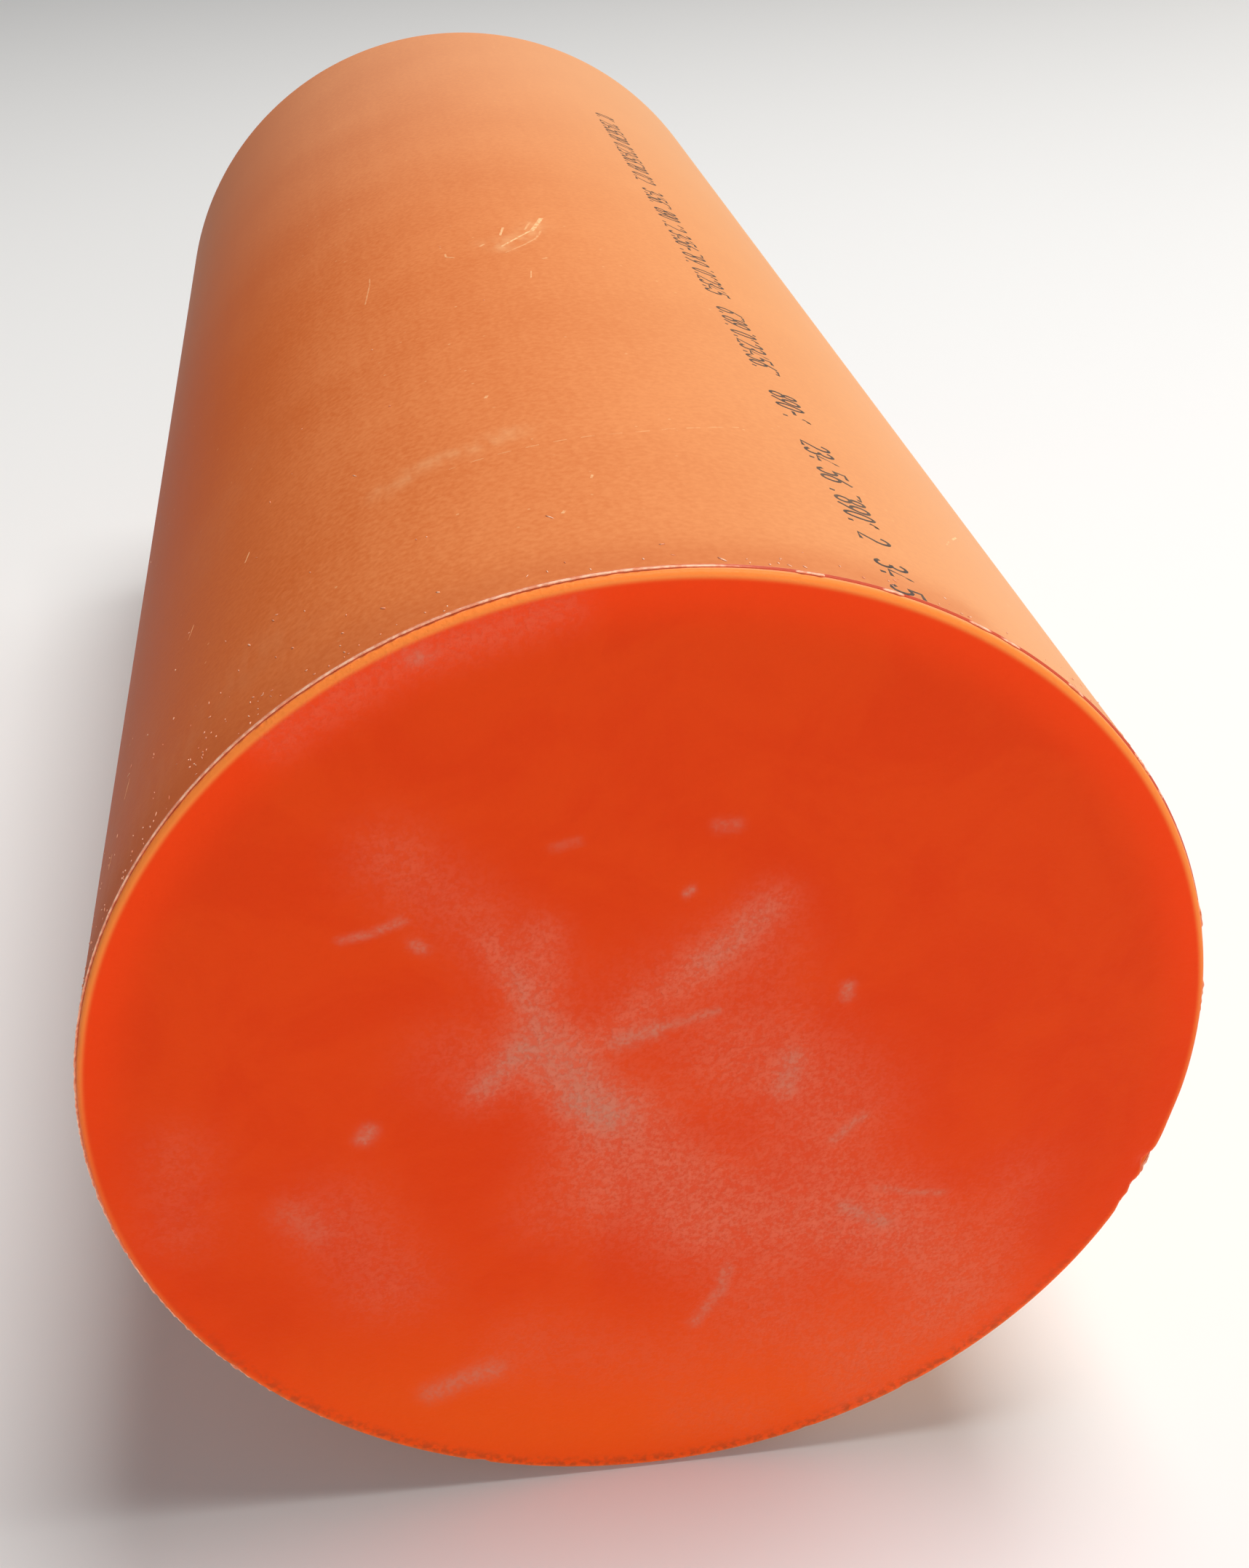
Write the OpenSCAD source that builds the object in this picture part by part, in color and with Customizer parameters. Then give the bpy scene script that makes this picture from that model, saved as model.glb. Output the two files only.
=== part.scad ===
// Short length of orange-brown plastic drain pipe, lying on its side along Y.
// A push-in cap closes its near end (-Y). The far end (+Y) is sawn square and open.
// The origin lies on the floor, under the middle of the overall length.

/* [Pipe] */
// Outside diameter of the pipe
pipe_od = 200; // [110:1:400]
// Thickness of the pipe's wall
pipe_wall = 4.9; // [3.2:0.1:9.8]
// Length of the sawn piece of pipe, without the cap
pipe_len = 444; // [100:1:2000]
// Width of the chamfer that breaks the outside edge of both sawn ends
outer_break = 0.3; // [0:0.1:1.5]
// Width of the chamfer that breaks the inside edge of both sawn ends
inner_break = 0.4; // [0:0.1:1]

/* [End cap] */
// Thickness of the flange, which covers the pipe's end
flange_t = 1.6; // [1.3:0.1:8]
// Radius of the round on the front edge of the flange
flange_round = 1; // [0.2:0.1:1.2]
// How much smaller the flange's radius is than the pipe's
flange_inset = 0.4; // [0:0.1:1.5]
// Radial gap between the skirt and the pipe's bore
skirt_clearance = 0.3; // [0.1:0.1:2]
// Thickness of the skirt, which stands in the pipe's bore
skirt_wall = 2.2; // [1.2:0.1:4]
// Depth of the skirt, from the back of the flange
skirt_depth = 24; // [8:1:60]
// Width of the chamfer that leads the skirt into the bore
lead_in = 1; // [0:0.1:1]

/* [Hidden] */

$fn = 180;
pipe_r = pipe_od / 2;
bore_r = pipe_r - pipe_wall;
overall_len = pipe_len + flange_t;
flange_r = pipe_r - flange_inset;
skirt_r = bore_r - skirt_clearance;
skirt_bore_r = skirt_r - skirt_wall;

// Lays a shape that stands on its near end (z = 0) down along +Y, resting on the floor.
module lying() {
    translate([0, -overall_len / 2, pipe_r]) rotate([-90, 0, 0]) children();
}

// Half section of the pipe's wall, from the near end face at 0 to the far one.
module wall_section() {
    polygon([
        [bore_r, inner_break],
        [bore_r + inner_break, 0],
        [pipe_r - outer_break, 0],
        [pipe_r, outer_break],
        [pipe_r, pipe_len - outer_break],
        [pipe_r - outer_break, pipe_len],
        [bore_r + inner_break, pipe_len],
        [bore_r, pipe_len - inner_break],
    ]);
}

// Half section of the flange, a flat disc whose front edge is a quarter round.
module flange_section() {
    square([flange_r - flange_round, flange_t]);
    translate([0, flange_round]) square([flange_r, flange_t - flange_round]);
    translate([flange_r - flange_round, flange_round]) intersection() {
        circle(r = flange_round);
        translate([0, -flange_round]) square(flange_round);
    }
}

// Half section of the skirt, with a chamfer that leads it into the bore.
module skirt_section() {
    polygon([
        [skirt_bore_r, 0],
        [skirt_r, 0],
        [skirt_r, skirt_depth - lead_in],
        [skirt_r - lead_in, skirt_depth],
        [skirt_bore_r, skirt_depth],
    ]);
}

module pipe() {
    color([0.80, 0.42, 0.22]) lying() translate([0, 0, flange_t]) rotate_extrude() wall_section();
}

module end_cap() {
    color([0.87, 0.25, 0.07]) lying() {
        rotate_extrude() flange_section();
        translate([0, 0, flange_t]) rotate_extrude() skirt_section();
    }
}

pipe();
end_cap();
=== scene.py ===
# %% [markdown]
# # A short drain pipe with a push-in cap
#
# The object is a sawn piece of orange-brown plastic drain pipe, 200 mm across, lying on its side. A bright
# orange-red cap closes its near end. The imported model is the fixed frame: it gives every size and place. This
# script makes the surfaces that are seen, with the small things that make them look real: a ragged sawn edge,
# shavings, a line of ink-jet figures, scuffs, and chalky smears on the cap.

# %% Load the frame
import math

import bpy
import numpy as np
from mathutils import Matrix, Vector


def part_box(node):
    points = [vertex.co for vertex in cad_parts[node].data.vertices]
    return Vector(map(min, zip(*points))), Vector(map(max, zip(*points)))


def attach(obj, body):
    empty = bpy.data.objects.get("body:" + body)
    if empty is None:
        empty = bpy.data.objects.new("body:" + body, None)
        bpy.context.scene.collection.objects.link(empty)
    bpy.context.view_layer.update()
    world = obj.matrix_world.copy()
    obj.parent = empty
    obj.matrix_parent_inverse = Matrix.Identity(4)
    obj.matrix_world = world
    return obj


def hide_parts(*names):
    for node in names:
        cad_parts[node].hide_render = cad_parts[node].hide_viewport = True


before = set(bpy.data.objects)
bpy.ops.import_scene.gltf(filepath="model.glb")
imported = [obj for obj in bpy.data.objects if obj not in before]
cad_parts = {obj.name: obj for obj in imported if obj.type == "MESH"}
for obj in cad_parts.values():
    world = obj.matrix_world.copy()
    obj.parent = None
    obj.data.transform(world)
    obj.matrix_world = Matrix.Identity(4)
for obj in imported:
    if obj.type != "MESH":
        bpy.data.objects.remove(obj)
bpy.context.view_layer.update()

# %% [markdown]
# ## Sizes
#
# Both pieces are turned shapes about one axis along Y, so a few radii and a few places along the axis describe
# them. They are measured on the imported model's own points. Angles go round the axis from +X up towards +Z, and
# distances along the axis are counted from the cap's face, as someone with a tape measure would do it.

# %% Measure the frame
MM = 0.001
RNG = np.random.default_rng(7)

pipe_low, pipe_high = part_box("pipe")
cap_low, cap_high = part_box("end_cap")
OUTER_R = (pipe_high[0] - pipe_low[0]) / 2
AXIS_Z = (pipe_high[2] + pipe_low[2]) / 2
FLANGE_R = (cap_high[0] - cap_low[0]) / 2
CAP_FACE = cap_low[1]
JOINT = pipe_low[1]
SKIRT_END = cap_high[1]
OPEN_END = pipe_high[1]


def node_points(name):
    """The corners of a node's mesh, as rows of radius from the axis and place along it."""
    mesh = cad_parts[name].data
    flat = np.empty(3 * len(mesh.vertices), dtype=np.float32)
    mesh.vertices.foreach_get("co", flat)
    x, y, z = flat.reshape(-1, 3).astype(float).T
    return np.column_stack([np.hypot(x, z - AXIS_Z), y])


pipe_points = node_points("pipe")
cap_points = node_points("end_cap")
BORE_R = pipe_points[:, 0].min()
PIPE_BREAK = OUTER_R - pipe_points[pipe_points[:, 1] < JOINT + 0.01 * MM, 0].max()
skirt_points = cap_points[cap_points[:, 1] > JOINT + 1 * MM]
SKIRT_R = skirt_points[:, 0].max()
SKIRT_BORE_R = skirt_points[:, 0].min()
front_points = cap_points[cap_points[:, 1] < CAP_FACE + 0.01 * MM]
FACE_R = front_points[:, 0].max()
print(f"pipe radius {OUTER_R / MM:.1f}, bore {BORE_R / MM:.1f}, edge break {PIPE_BREAK / MM:.2f} mm")
print(f"cap flat radius {FACE_R / MM:.2f}, skirt {SKIRT_BORE_R / MM:.1f} to {SKIRT_R / MM:.1f} mm")

# %% [markdown]
# ## A mesh from a grid
#
# A turned shape is a profile carried round the axis. Here the radius and the place along the axis are whole
# arrays, one row a ring and one column a step round the axis. That way a ring need not be a perfect circle: any
# array of small dents can be added before the mesh is made. A tube's profile closes on itself, and a disc's
# profile starts and ends on the axis, at one shared point.


# %% Turned surfaces
def angles(count):
    """Equal steps round the axis, in radians, starting at the bottom so that the seam is underneath."""
    return np.arange(count) * (2 * math.pi / count) - math.pi / 2


def place(radius, turn, along):
    """Points at a radius, an angle round the axis and a place along it: x = r cos, z = axis + r sin."""
    return np.stack(np.broadcast_arrays(radius * np.cos(turn), along, AXIS_Z + radius * np.sin(turn)), axis=-1)


def signed_volume(points, faces):
    """Six times the volume under a set of faces, positive where they point outwards."""
    first = points[faces[:, 0]]
    return sum(np.einsum("ij,ij->", first, np.cross(points[faces[:, i]], points[faces[:, i + 1]]))
               for i in range(1, faces.shape[1] - 1))


def make_object(name, points, *face_sets, smooth_angle=math.radians(32)):
    """A mesh object from arrays of points and of faces, turned outside out if its volume comes out negative."""
    if sum(signed_volume(points, faces) for faces in face_sets) < 0:
        face_sets = [faces[:, ::-1] for faces in face_sets]
    mesh = bpy.data.meshes.new(name)
    mesh.from_pydata(points.tolist(), [], [face for faces in face_sets for face in faces.tolist()])
    mesh.shade_smooth()
    mesh.set_sharp_from_angle(angle=smooth_angle)
    piece = bpy.data.objects.new(name, mesh)
    bpy.context.scene.collection.objects.link(piece)
    print(f"{name}: {len(mesh.vertices)} points, {len(mesh.polygons)} faces")
    return piece


def grid_faces(rows, columns, close_rows):
    """Four-sided faces of a grid whose columns go round and whose rows may close on themselves."""
    row = np.arange(rows if close_rows else rows - 1)[:, None]
    column = np.arange(columns)[None, :]
    next_row, next_column = (row + 1) % rows, (column + 1) % columns
    corners = [row * columns + column, next_row * columns + column,
               next_row * columns + next_column, row * columns + next_column]
    return np.stack(np.broadcast_arrays(*corners), axis=-1).reshape(-1, 4)


def turned_tube(name, radius, along):
    """A closed tube: radius and along hold one row a ring, and the last ring joins the first."""
    rows, columns = radius.shape
    points = place(radius, angles(columns), along).reshape(-1, 3)
    return make_object(name, points, grid_faces(rows, columns, True))


def turned_disc(name, radius, along):
    """A closed disc: the first and last rows are left out and each becomes one point on the axis."""
    rows, columns = radius.shape
    points = place(radius[1:-1], angles(columns), along[1:-1]).reshape(-1, 3)
    poles = np.array([[0, along[0].mean(), AXIS_Z], [0, along[-1].mean(), AXIS_Z]])
    first, last = len(points), len(points) + 1
    column = np.arange(columns)
    beside = (column + 1) % columns
    top = (rows - 3) * columns
    start_fan = np.stack([np.full(columns, first), column, beside], axis=-1)
    end_fan = np.stack([np.full(columns, last), top + beside, top + column], axis=-1)
    return make_object(name, np.concatenate([points, poles]), grid_faces(rows - 2, columns, False), start_fan, end_fan)


def profile(corners, steps):
    """A polyline with each stretch cut into steps, as arrays of radius and place, without its last point."""
    corners = np.array(corners)
    pieces = [start + (end - start) * np.linspace(0, 1, count, endpoint=False)[:, None]
              for start, end, count in zip(corners[:-1], corners[1:], steps)]
    return np.concatenate(pieces).T


def wave_noise(turn, lowest, highest, roughness=0.5):
    """Smooth random values round the axis: a sum of sines with whole numbers of waves, scaled to about -1..1."""
    waves = np.arange(lowest, highest + 1)
    size = (waves / lowest) ** -roughness * RNG.normal(size=len(waves))
    shift = RNG.uniform(0, 2 * math.pi, len(waves))
    total = (size * np.sin(np.multiply.outer(turn, waves) + shift)).sum(axis=-1)
    return total / (2 * np.sqrt((size ** 2).sum() / 2))


def dip(turn, centre, width):
    """A smooth bump of height 1 round the axis, centred at an angle, in degrees, with a width in degrees."""
    away = (np.degrees(turn) - centre + 180) % 360 - 180
    return np.exp(-(away / width) ** 2)


def fade(value, start, end):
    """A smooth step: 0 at start and 1 at end, whichever of the two is larger."""
    t = np.clip((value - start) / (end - start), 0, 1)
    return t * t * (3 - 2 * t)


# %% [markdown]
# ## The pipe
#
# Extruded pipe is very round and smooth, so its long surface stays a true cylinder. What isn't smooth is where it
# was sawn. The two broken edges wander a little, by a few tenths of a millimetre, and the saw leaves shallow
# ripples on the end faces. The rings are close together near both ends, where these things happen, and wide apart
# in the middle.

# %% Make the pipe
PIPE_STEPS = 384
PIPE_RINGS = 150
END_CROWDING = 0.85
INNER_BREAK = 0.4 * MM
EDGE_WANDER = 0.12 * MM
SAW_RIPPLE = 0.06 * MM
SAW_WAVE = 3.1 * MM
SAW_ANGLE = math.radians(25)
BORE_RINGS = 40
HAIR = 0.01 * MM


def crowded(low, high, count):
    """Places from low to high that lie close together at both ends."""
    t = np.linspace(0, 1, count)
    return low + (high - low) * (t - END_CROWDING * np.sin(2 * math.pi * t) / (2 * math.pi))


def make_pipe():
    """The tube's wall: outside, open end, bore and capped end in one closed surface."""
    outside = crowded(JOINT + PIPE_BREAK, OPEN_END - PIPE_BREAK, PIPE_RINGS)
    bore = crowded(JOINT + INNER_BREAK, OPEN_END - INNER_BREAK, BORE_RINGS)[::-1]
    far_end = profile([(OUTER_R, OPEN_END - PIPE_BREAK), (OUTER_R - PIPE_BREAK, OPEN_END),
                       (BORE_R + INNER_BREAK, OPEN_END), (BORE_R, OPEN_END - INNER_BREAK)], [3, 6, 2])
    near_end = profile([(BORE_R, JOINT + INNER_BREAK), (BORE_R + INNER_BREAK, JOINT),
                        (OUTER_R - PIPE_BREAK, JOINT), (OUTER_R, JOINT + PIPE_BREAK)], [2, 5, 3])
    radius = np.concatenate([np.full(PIPE_RINGS, OUTER_R), far_end[0][1:],
                             np.full(BORE_RINGS, BORE_R), near_end[0][1:]])
    along = np.concatenate([outside, far_end[1][1:], bore, near_end[1][1:]])
    turn = angles(PIPE_STEPS)
    radius, along = np.broadcast_arrays(radius[:, None], along[:, None] + 0 * turn)
    inside = (along[:, :1] < JOINT + PIPE_BREAK) | (along[:, :1] > OPEN_END - PIPE_BREAK)
    on_far_face = along[:, :1] > OPEN_END - HAIR
    on_rim = inside & (radius[:, :1] > OUTER_R - PIPE_BREAK / 2)
    wander = EDGE_WANDER * wave_noise(turn, 9, 120, 0.3)
    saw_direction = radius * np.cos(turn - SAW_ANGLE)
    ripple = SAW_RIPPLE * (np.sin(saw_direction / SAW_WAVE) + wave_noise(turn, 3, 40))
    sign = np.where(along > 0, -1, 1)
    along = along + sign * on_rim * np.abs(wander) - on_far_face * np.abs(ripple)
    return turned_tube("pipe_wall", radius, along)


pipe = make_pipe()
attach(pipe, "root")
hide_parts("pipe")

# %% [markdown]
# ## The cap
#
# The cap is one injection moulding: a flat round flange and a skirt that stands in the bore. A moulded disc this
# thin is never quite flat, so its face gets a warp of two tenths of a millimetre, which bends the reflections. Its
# front edge is rounded and has been knocked about: small dents are pressed into the round where it hit the ground.
# The rings of the face lie a millimetre apart, because the smears are painted on them later.

# %% Make the cap
CAP_STEPS = 512
FACE_RINGS = 98
ROUND_RINGS = 9
FACE_WARP = 0.2 * MM
EDGE_WEAR = 0.03 * MM
LEAD_IN = 1 * MM

# Dents in the cap's front edge: angle and width in degrees, and depth in millimetres.
RIM_DENTS = [(-17, 1.2, 1.1), (-20.5, 0.8, 0.6), (-23, 1.1, 0.35), (-10, 2.5, 0.1), (-58, 0.6, 0.22),
             (-71, 0.5, 0.15), (-110, 0.5, 0.4), (-143, 0.8, 0.25), (168, 1.2, 0.1)]
# Waves of the cap's face: direction in radians, length over a turn in millimetres, and shift in radians.
FACE_WAVES = [(0.4, 21, 0.3), (1.9, 27, 1.7), (2.9, 16, 4.0)]


def make_cap():
    """Face, rounded edge, side, back, skirt and inner face, from one pole on the axis to the other."""
    edge_round = FLANGE_R - FACE_R
    quarter = np.linspace(0, math.pi / 2, ROUND_RINGS)
    face = np.array([np.linspace(0, FACE_R, FACE_RINGS, endpoint=False), np.full(FACE_RINGS, CAP_FACE)])
    edge = np.array([FACE_R + edge_round * np.sin(quarter), CAP_FACE + edge_round * (1 - np.cos(quarter))])
    rest = profile([(FLANGE_R, CAP_FACE + edge_round), (FLANGE_R, JOINT), (SKIRT_R, JOINT),
                    (SKIRT_R, SKIRT_END - LEAD_IN), (SKIRT_R - LEAD_IN, SKIRT_END),
                    (SKIRT_BORE_R, SKIRT_END), (SKIRT_BORE_R, JOINT), (0, JOINT)], [3, 3, 6, 2, 2, 6, 14])
    radius, along = np.concatenate([face, edge, rest[:, 1:], [[0], [JOINT]]], axis=1)
    turn = angles(CAP_STEPS)
    radius, along = np.broadcast_arrays(radius[:, None], along[:, None] + 0 * turn)
    warp = sum(np.sin(radius * math.cos(a) / (size * MM) * np.cos(turn - a) + shift)
               for a, size, shift in FACE_WAVES) / len(FACE_WAVES)
    inward = FACE_WARP * (0.5 + 0.5 * warp) * fade(radius, FACE_R, FACE_R - 12 * MM)
    on_front = along < CAP_FACE + HAIR
    along = along + on_front * (radius < FACE_R) * inward
    on_edge = fade(radius, FACE_R - 3 * MM, FACE_R + 0.6 * edge_round) * fade(along, JOINT, CAP_FACE + edge_round)
    dents = sum(depth * MM * dip(turn, angle, width) for angle, width, depth in RIM_DENTS)
    wear = EDGE_WEAR * np.abs(wave_noise(turn, 20, 180, 0.2)) * fade(np.sin(turn), 0.4, -0.4)
    radius = radius - on_edge * (dents + wear)
    along = along + 0.5 * on_edge * dents * (along < JOINT - 0.3 * MM)
    return turned_disc("cap_body", radius, along)


cap = make_cap()
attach(cap, "root")
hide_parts("end_cap")

# %% [markdown]
# ## The burr at the sawn edge
#
# A saw pushes a thin ragged lip of plastic over the edge that it leaves. The flange is a little smaller than the
# pipe, so a narrow step of the sawn end stays in sight beside it. Where the lip is thick it fills that step and
# shows as a pale line, and where it has broken off the step stays open and is painted dark, as painted shade. The
# lip is a ring of its own, four times as fine as the pipe, that swells and shrinks round the axis.

# %% Make the burr
BURR_STEPS = 1536
BURR_RINGS = 6
BURR_HEIGHT = 0.85 * MM
BURR_SINK = 0.05 * MM
BURR_LEAN = 0.35
BURR_PROUD = 0.45 * MM


def burr_fill(turn):
    """How much of the step the burr fills, 0 to 1: full at the upper left, torn off in bits at the right."""
    degrees = np.degrees(turn) % 360
    left_side = fade(degrees, 78, 100) * fade(degrees, 300, 210)
    torn = fade(wave_noise(turn, 7, 90, 0.4), 0.25, 0.75)
    grain = 0.5 + 0.5 * wave_noise(turn, 60, 400, 0.2)
    return np.clip(left_side * (0.62 + 0.38 * grain) + (1 - left_side) * torn * (0.35 + 0.5 * grain), 0.02, 1)


def step_surface(radius):
    """Where the sawn end lies along the axis at a radius near the outside: flat, then the broken edge."""
    return JOINT + np.maximum(0, radius - (OUTER_R - PIPE_BREAK))


def make_burr():
    """A ring that lies on the step beside the flange and stands out of it as far as burr_fill says."""
    turn = angles(BURR_STEPS)
    across = np.linspace(0, 1, BURR_RINGS)[:, None]
    inner = FLANGE_R - BURR_SINK
    radius = inner + (OUTER_R - inner) * across + 0 * turn
    ragged = 0.85 + 0.15 * wave_noise(turn, 90, 500, 0)
    bulge = burr_fill(turn) * BURR_HEIGHT * np.sin(math.pi * across ** 1.2) * ragged
    top_along = step_surface(radius) - 0.02 * MM - bulge
    low_along = step_surface(radius[::-1]) + 0.15 * MM
    return turned_tube("sawn_burr", np.concatenate([radius + BURR_LEAN * bulge, radius[::-1] - 0.02 * MM]),
                       np.concatenate([top_along, low_along]))


burr = make_burr()
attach(burr, "root")

# %% [markdown]
# ## Shavings
#
# Sawing leaves crumbs that cling to the pipe by static, most of them close to the cut and low on the left. Each
# one is a squashed twenty-sided crumb, so hundreds stay light. They are made as one array: every crumb's corners
# at once, each with its own size, stretch and turn.

# %% Make the shavings
GOLDEN = (1 + math.sqrt(5)) / 2


def crumb_shape():
    """The 12 corners and 20 faces of an icosahedron with a radius of one."""
    corners = np.array([(0, a, b * GOLDEN) for a in (-1, 1) for b in (-1, 1)], dtype=float)
    corners = np.concatenate([corners, np.roll(corners, 1, axis=1), np.roll(corners, 2, axis=1)])
    apart = np.linalg.norm(corners[:, None] - corners[None], axis=-1)
    near = np.abs(apart - 2) < 0.01
    faces = np.array([(i, j, k) for i in range(12) for j in range(i + 1, 12) for k in range(j + 1, 12)
                      if near[i, j] and near[j, k] and near[i, k]])
    first, second, third = corners[faces].transpose(1, 0, 2)
    outward = np.einsum("ij,ij->i", first + second + third, np.cross(second - first, third - first))
    faces[outward < 0] = faces[outward < 0][:, ::-1]
    return corners / np.linalg.norm(corners[0]), faces


def make_shavings(name, turn, along, length, width, slant, rise):
    """Crumbs on the pipe's outside, each lying flat: length and width in metres, slant from the axis in radians."""
    corners, faces = crumb_shape()
    count = len(turn)
    rough = corners[None] * RNG.uniform(0.75, 1.15, (count, len(corners), 1))
    u, v, w = rough[..., 0] * length[:, None] / 2, rough[..., 1] * width[:, None] / 2, rough[..., 2] * rise[:, None]
    go_along = u * np.cos(slant)[:, None] - v * np.sin(slant)[:, None]
    go_round = u * np.sin(slant)[:, None] + v * np.cos(slant)[:, None]
    radius = OUTER_R + 0.5 * rise[:, None] + w
    points = place(radius, turn[:, None] + go_round / OUTER_R, along[:, None] + go_along).reshape(-1, 3)
    all_faces = (faces[None] + len(corners) * np.arange(count)[:, None, None]).reshape(-1, 3)
    return make_object(name, points, all_faces, smooth_angle=math.pi)


def scatter(count, low_degrees, high_degrees, reach):
    """Random angles in a range, and places that crowd towards the joint and thin out over a reach in metres."""
    turn = np.radians(RNG.uniform(low_degrees, high_degrees, count))
    along = JOINT + PIPE_BREAK + 0.6 * MM + reach * RNG.exponential(0.45, count).clip(0, 4)
    return turn, along


groups = [scatter(150, 118, 186, 22 * MM), scatter(46, 45, 118, 9 * MM), scatter(60, 0, 45, 12 * MM),
          scatter(34, 95, 170, 95 * MM)]
turn, along = np.concatenate(groups, axis=1)
amount = len(turn)
shavings = make_shavings("shavings", turn, along, length=RNG.lognormal(-0.45, 0.55, amount).clip(0.2, 2.4) * MM,
                         width=RNG.uniform(0.14, 0.42, amount) * MM, slant=RNG.normal(0.5, 0.5, amount),
                         rise=RNG.uniform(0.04, 0.13, amount) * MM)
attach(shavings, "root")

# %% [markdown]
# ## The line of figures
#
# Pipe is marked on the line by an ink-jet printer. The real line's words are not copied. A plain run of the
# figures 0 to 9, dashes and strokes stands for it, in groups with the same lengths. Each pen stroke is a flat
# ribbon that lies on the cylinder, a few hundredths of a millimetre proud of it: its centre line is a polyline in
# a cell four units wide and six high, and the ribbon is as wide as the printer's drops.

# %% Pen strokes of the figures
PITCH = 3.2 * MM
FIGURE_HEIGHT = 5.6 * MM
FIGURE_WIDTH = 2.3 * MM
PEN = 0.72 * MM
INK_RISE = 0.02 * MM
BASELINE = math.radians(69.3)


def arc(cx, cy, rx, ry, start, end, count=9):
    """Points on an ellipse between two angles in degrees."""
    t = np.radians(np.linspace(start, end, count))
    return np.column_stack([cx + rx * np.cos(t), cy + ry * np.sin(t)])


FIGURES = {
    "0": [arc(2, 3, 2, 3, 90, 450, 17)],
    "1": [[(0.6, 4.6), (2, 6), (2, 0)]],
    "2": [np.concatenate([arc(2, 4.2, 2, 1.8, 160, -35), [(0, 0), (4, 0)]])],
    "3": [arc(2, 4.5, 1.9, 1.5, 150, -90), arc(2, 1.5, 2, 1.5, 90, -150)],
    "4": [[(3, 0), (3, 6), (0, 1.8), (4, 1.8)]],
    "5": [np.concatenate([[(3.8, 6), (0.5, 6), (0.3, 3.4)], arc(2, 2, 2, 2, 120, -150)])],
    "6": [np.concatenate([[(3.4, 6), (1, 4)], arc(2, 1.9, 2, 1.9, 160, 520, 15)])],
    "7": [[(0, 6), (4, 6), (1.4, 0)]],
    "8": [arc(2, 4.5, 1.6, 1.5, -90, 270, 13), arc(2, 1.5, 2, 1.5, 90, 450, 13)],
    "9": [np.concatenate([[(0.6, 0), (3, 2)], arc(2, 4.1, 2, 1.9, -20, 340, 15)])],
    "-": [[(0.6, 3), (3.4, 3)]],
    "/": [[(0.4, -0.4), (3.6, 6.4)]],
}

# Groups of figures along the pipe: distance of the first figure from the cap's face in millimetres, and the text.
PRINT_GROUPS = [(343, "01"), (333, "23456789 0123456789 012"), (251, "34567"), (231, "890 12"),
                (209, "3456-78"), (185, "9/"), (177, "012345"), (147, "6789/01234567"), (93, "890-1"),
                (66, "234 56 78901 2"), (14, "34 5")]


def ribbon(centre, width=PEN):
    """Corner points and faces of one closed ribbon along a polyline on the unrolled pipe, in metres."""
    centre = np.asarray(centre, dtype=float)
    heading = np.gradient(centre, axis=0)
    heading /= np.linalg.norm(heading, axis=1, keepdims=True)
    beside = np.column_stack([-heading[:, 1], heading[:, 0]]) * width / 2
    centre[0] -= heading[0] * width / 3
    centre[-1] += heading[-1] * width / 3
    left, right = centre + beside, centre - beside
    low, high = OUTER_R - 2 * INK_RISE, OUTER_R + INK_RISE
    rings = [np.column_stack([side, np.full(len(side), level)])
             for side, level in ((left, low), (left, high), (right, high), (right, low))]
    count = len(centre)
    points = np.stack(rings, axis=1).reshape(-1, 3)
    faces = grid_faces(count, 4, False)
    ends = np.array([[0, 1, 2, 3], [4 * count - 1, 4 * count - 2, 4 * count - 3, 4 * count - 4]])
    return points, np.concatenate([faces, ends])


def make_print():
    """All the ribbons as one mesh. Figures read towards the cap, with their tops towards +X."""
    points, faces, total = [], [], 0
    for first, text in PRINT_GROUPS:
        for index, figure in enumerate(text):
            for stroke in FIGURES.get(figure, []):
                cell = np.asarray(stroke, dtype=float) * [FIGURE_WIDTH / 4, FIGURE_HEIGHT / 6]
                cell = cell + [index * PITCH, 0] + RNG.normal(0, 0.04 * MM, 2)
                flat, strip = ribbon(cell)
                turn = BASELINE - flat[:, 1] / OUTER_R
                points.append(place(flat[:, 2], turn, CAP_FACE + first * MM - flat[:, 0]))
                faces.append(strip + total)
                total += len(flat)
    return make_object("print_line", np.concatenate(points), np.concatenate(faces))


print_line = make_print()
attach(print_line, "root")

# %% [markdown]
# ## Smears painted on the cap
#
# Dust and rubbed plastic lie on the cap's face in soft shapes a few millimetres wide. Such shapes are easiest to
# paint straight onto the mesh: for every point the script works out how far it is from a stroke of the hand, and
# stores how thick the dust is there. The material reads that number and breaks it up with fine noise.


# %% Paint on points
def stroke_amount(across, up, stroke, width):
    """How thick a soft brush stroke is at each point: 1 on the polyline and a fifth of that one width away."""
    stroke = np.array(stroke, dtype=float)
    amount = np.zeros(across.shape)
    for start, end in zip(stroke[:-1], stroke[1:]):
        step = end - start
        t = np.clip(((across - start[0]) * step[0] + (up - start[1]) * step[1]) / (step @ step), 0, 1)
        away = np.hypot(across - start[0] - t * step[0], up - start[1] - t * step[1])
        amount = np.maximum(amount, np.exp(-(away / width) ** 2 * 1.6))
    return amount


def paint(piece, name, strokes, across, up):
    """Adds the strokes (polyline, width, strength) up to one number for each point of a piece."""
    clear = np.ones(across.shape)
    for stroke, width, strength in strokes:
        clear *= 1 - strength * stroke_amount(across, up, stroke, width)
    layer = piece.data.attributes.new(name, "FLOAT", "POINT")
    layer.data.foreach_set("value", (1 - clear).astype(np.float32))
    print(f"{piece.name}: painted {name}, up to {1 - clear.min():.2f}")


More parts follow.
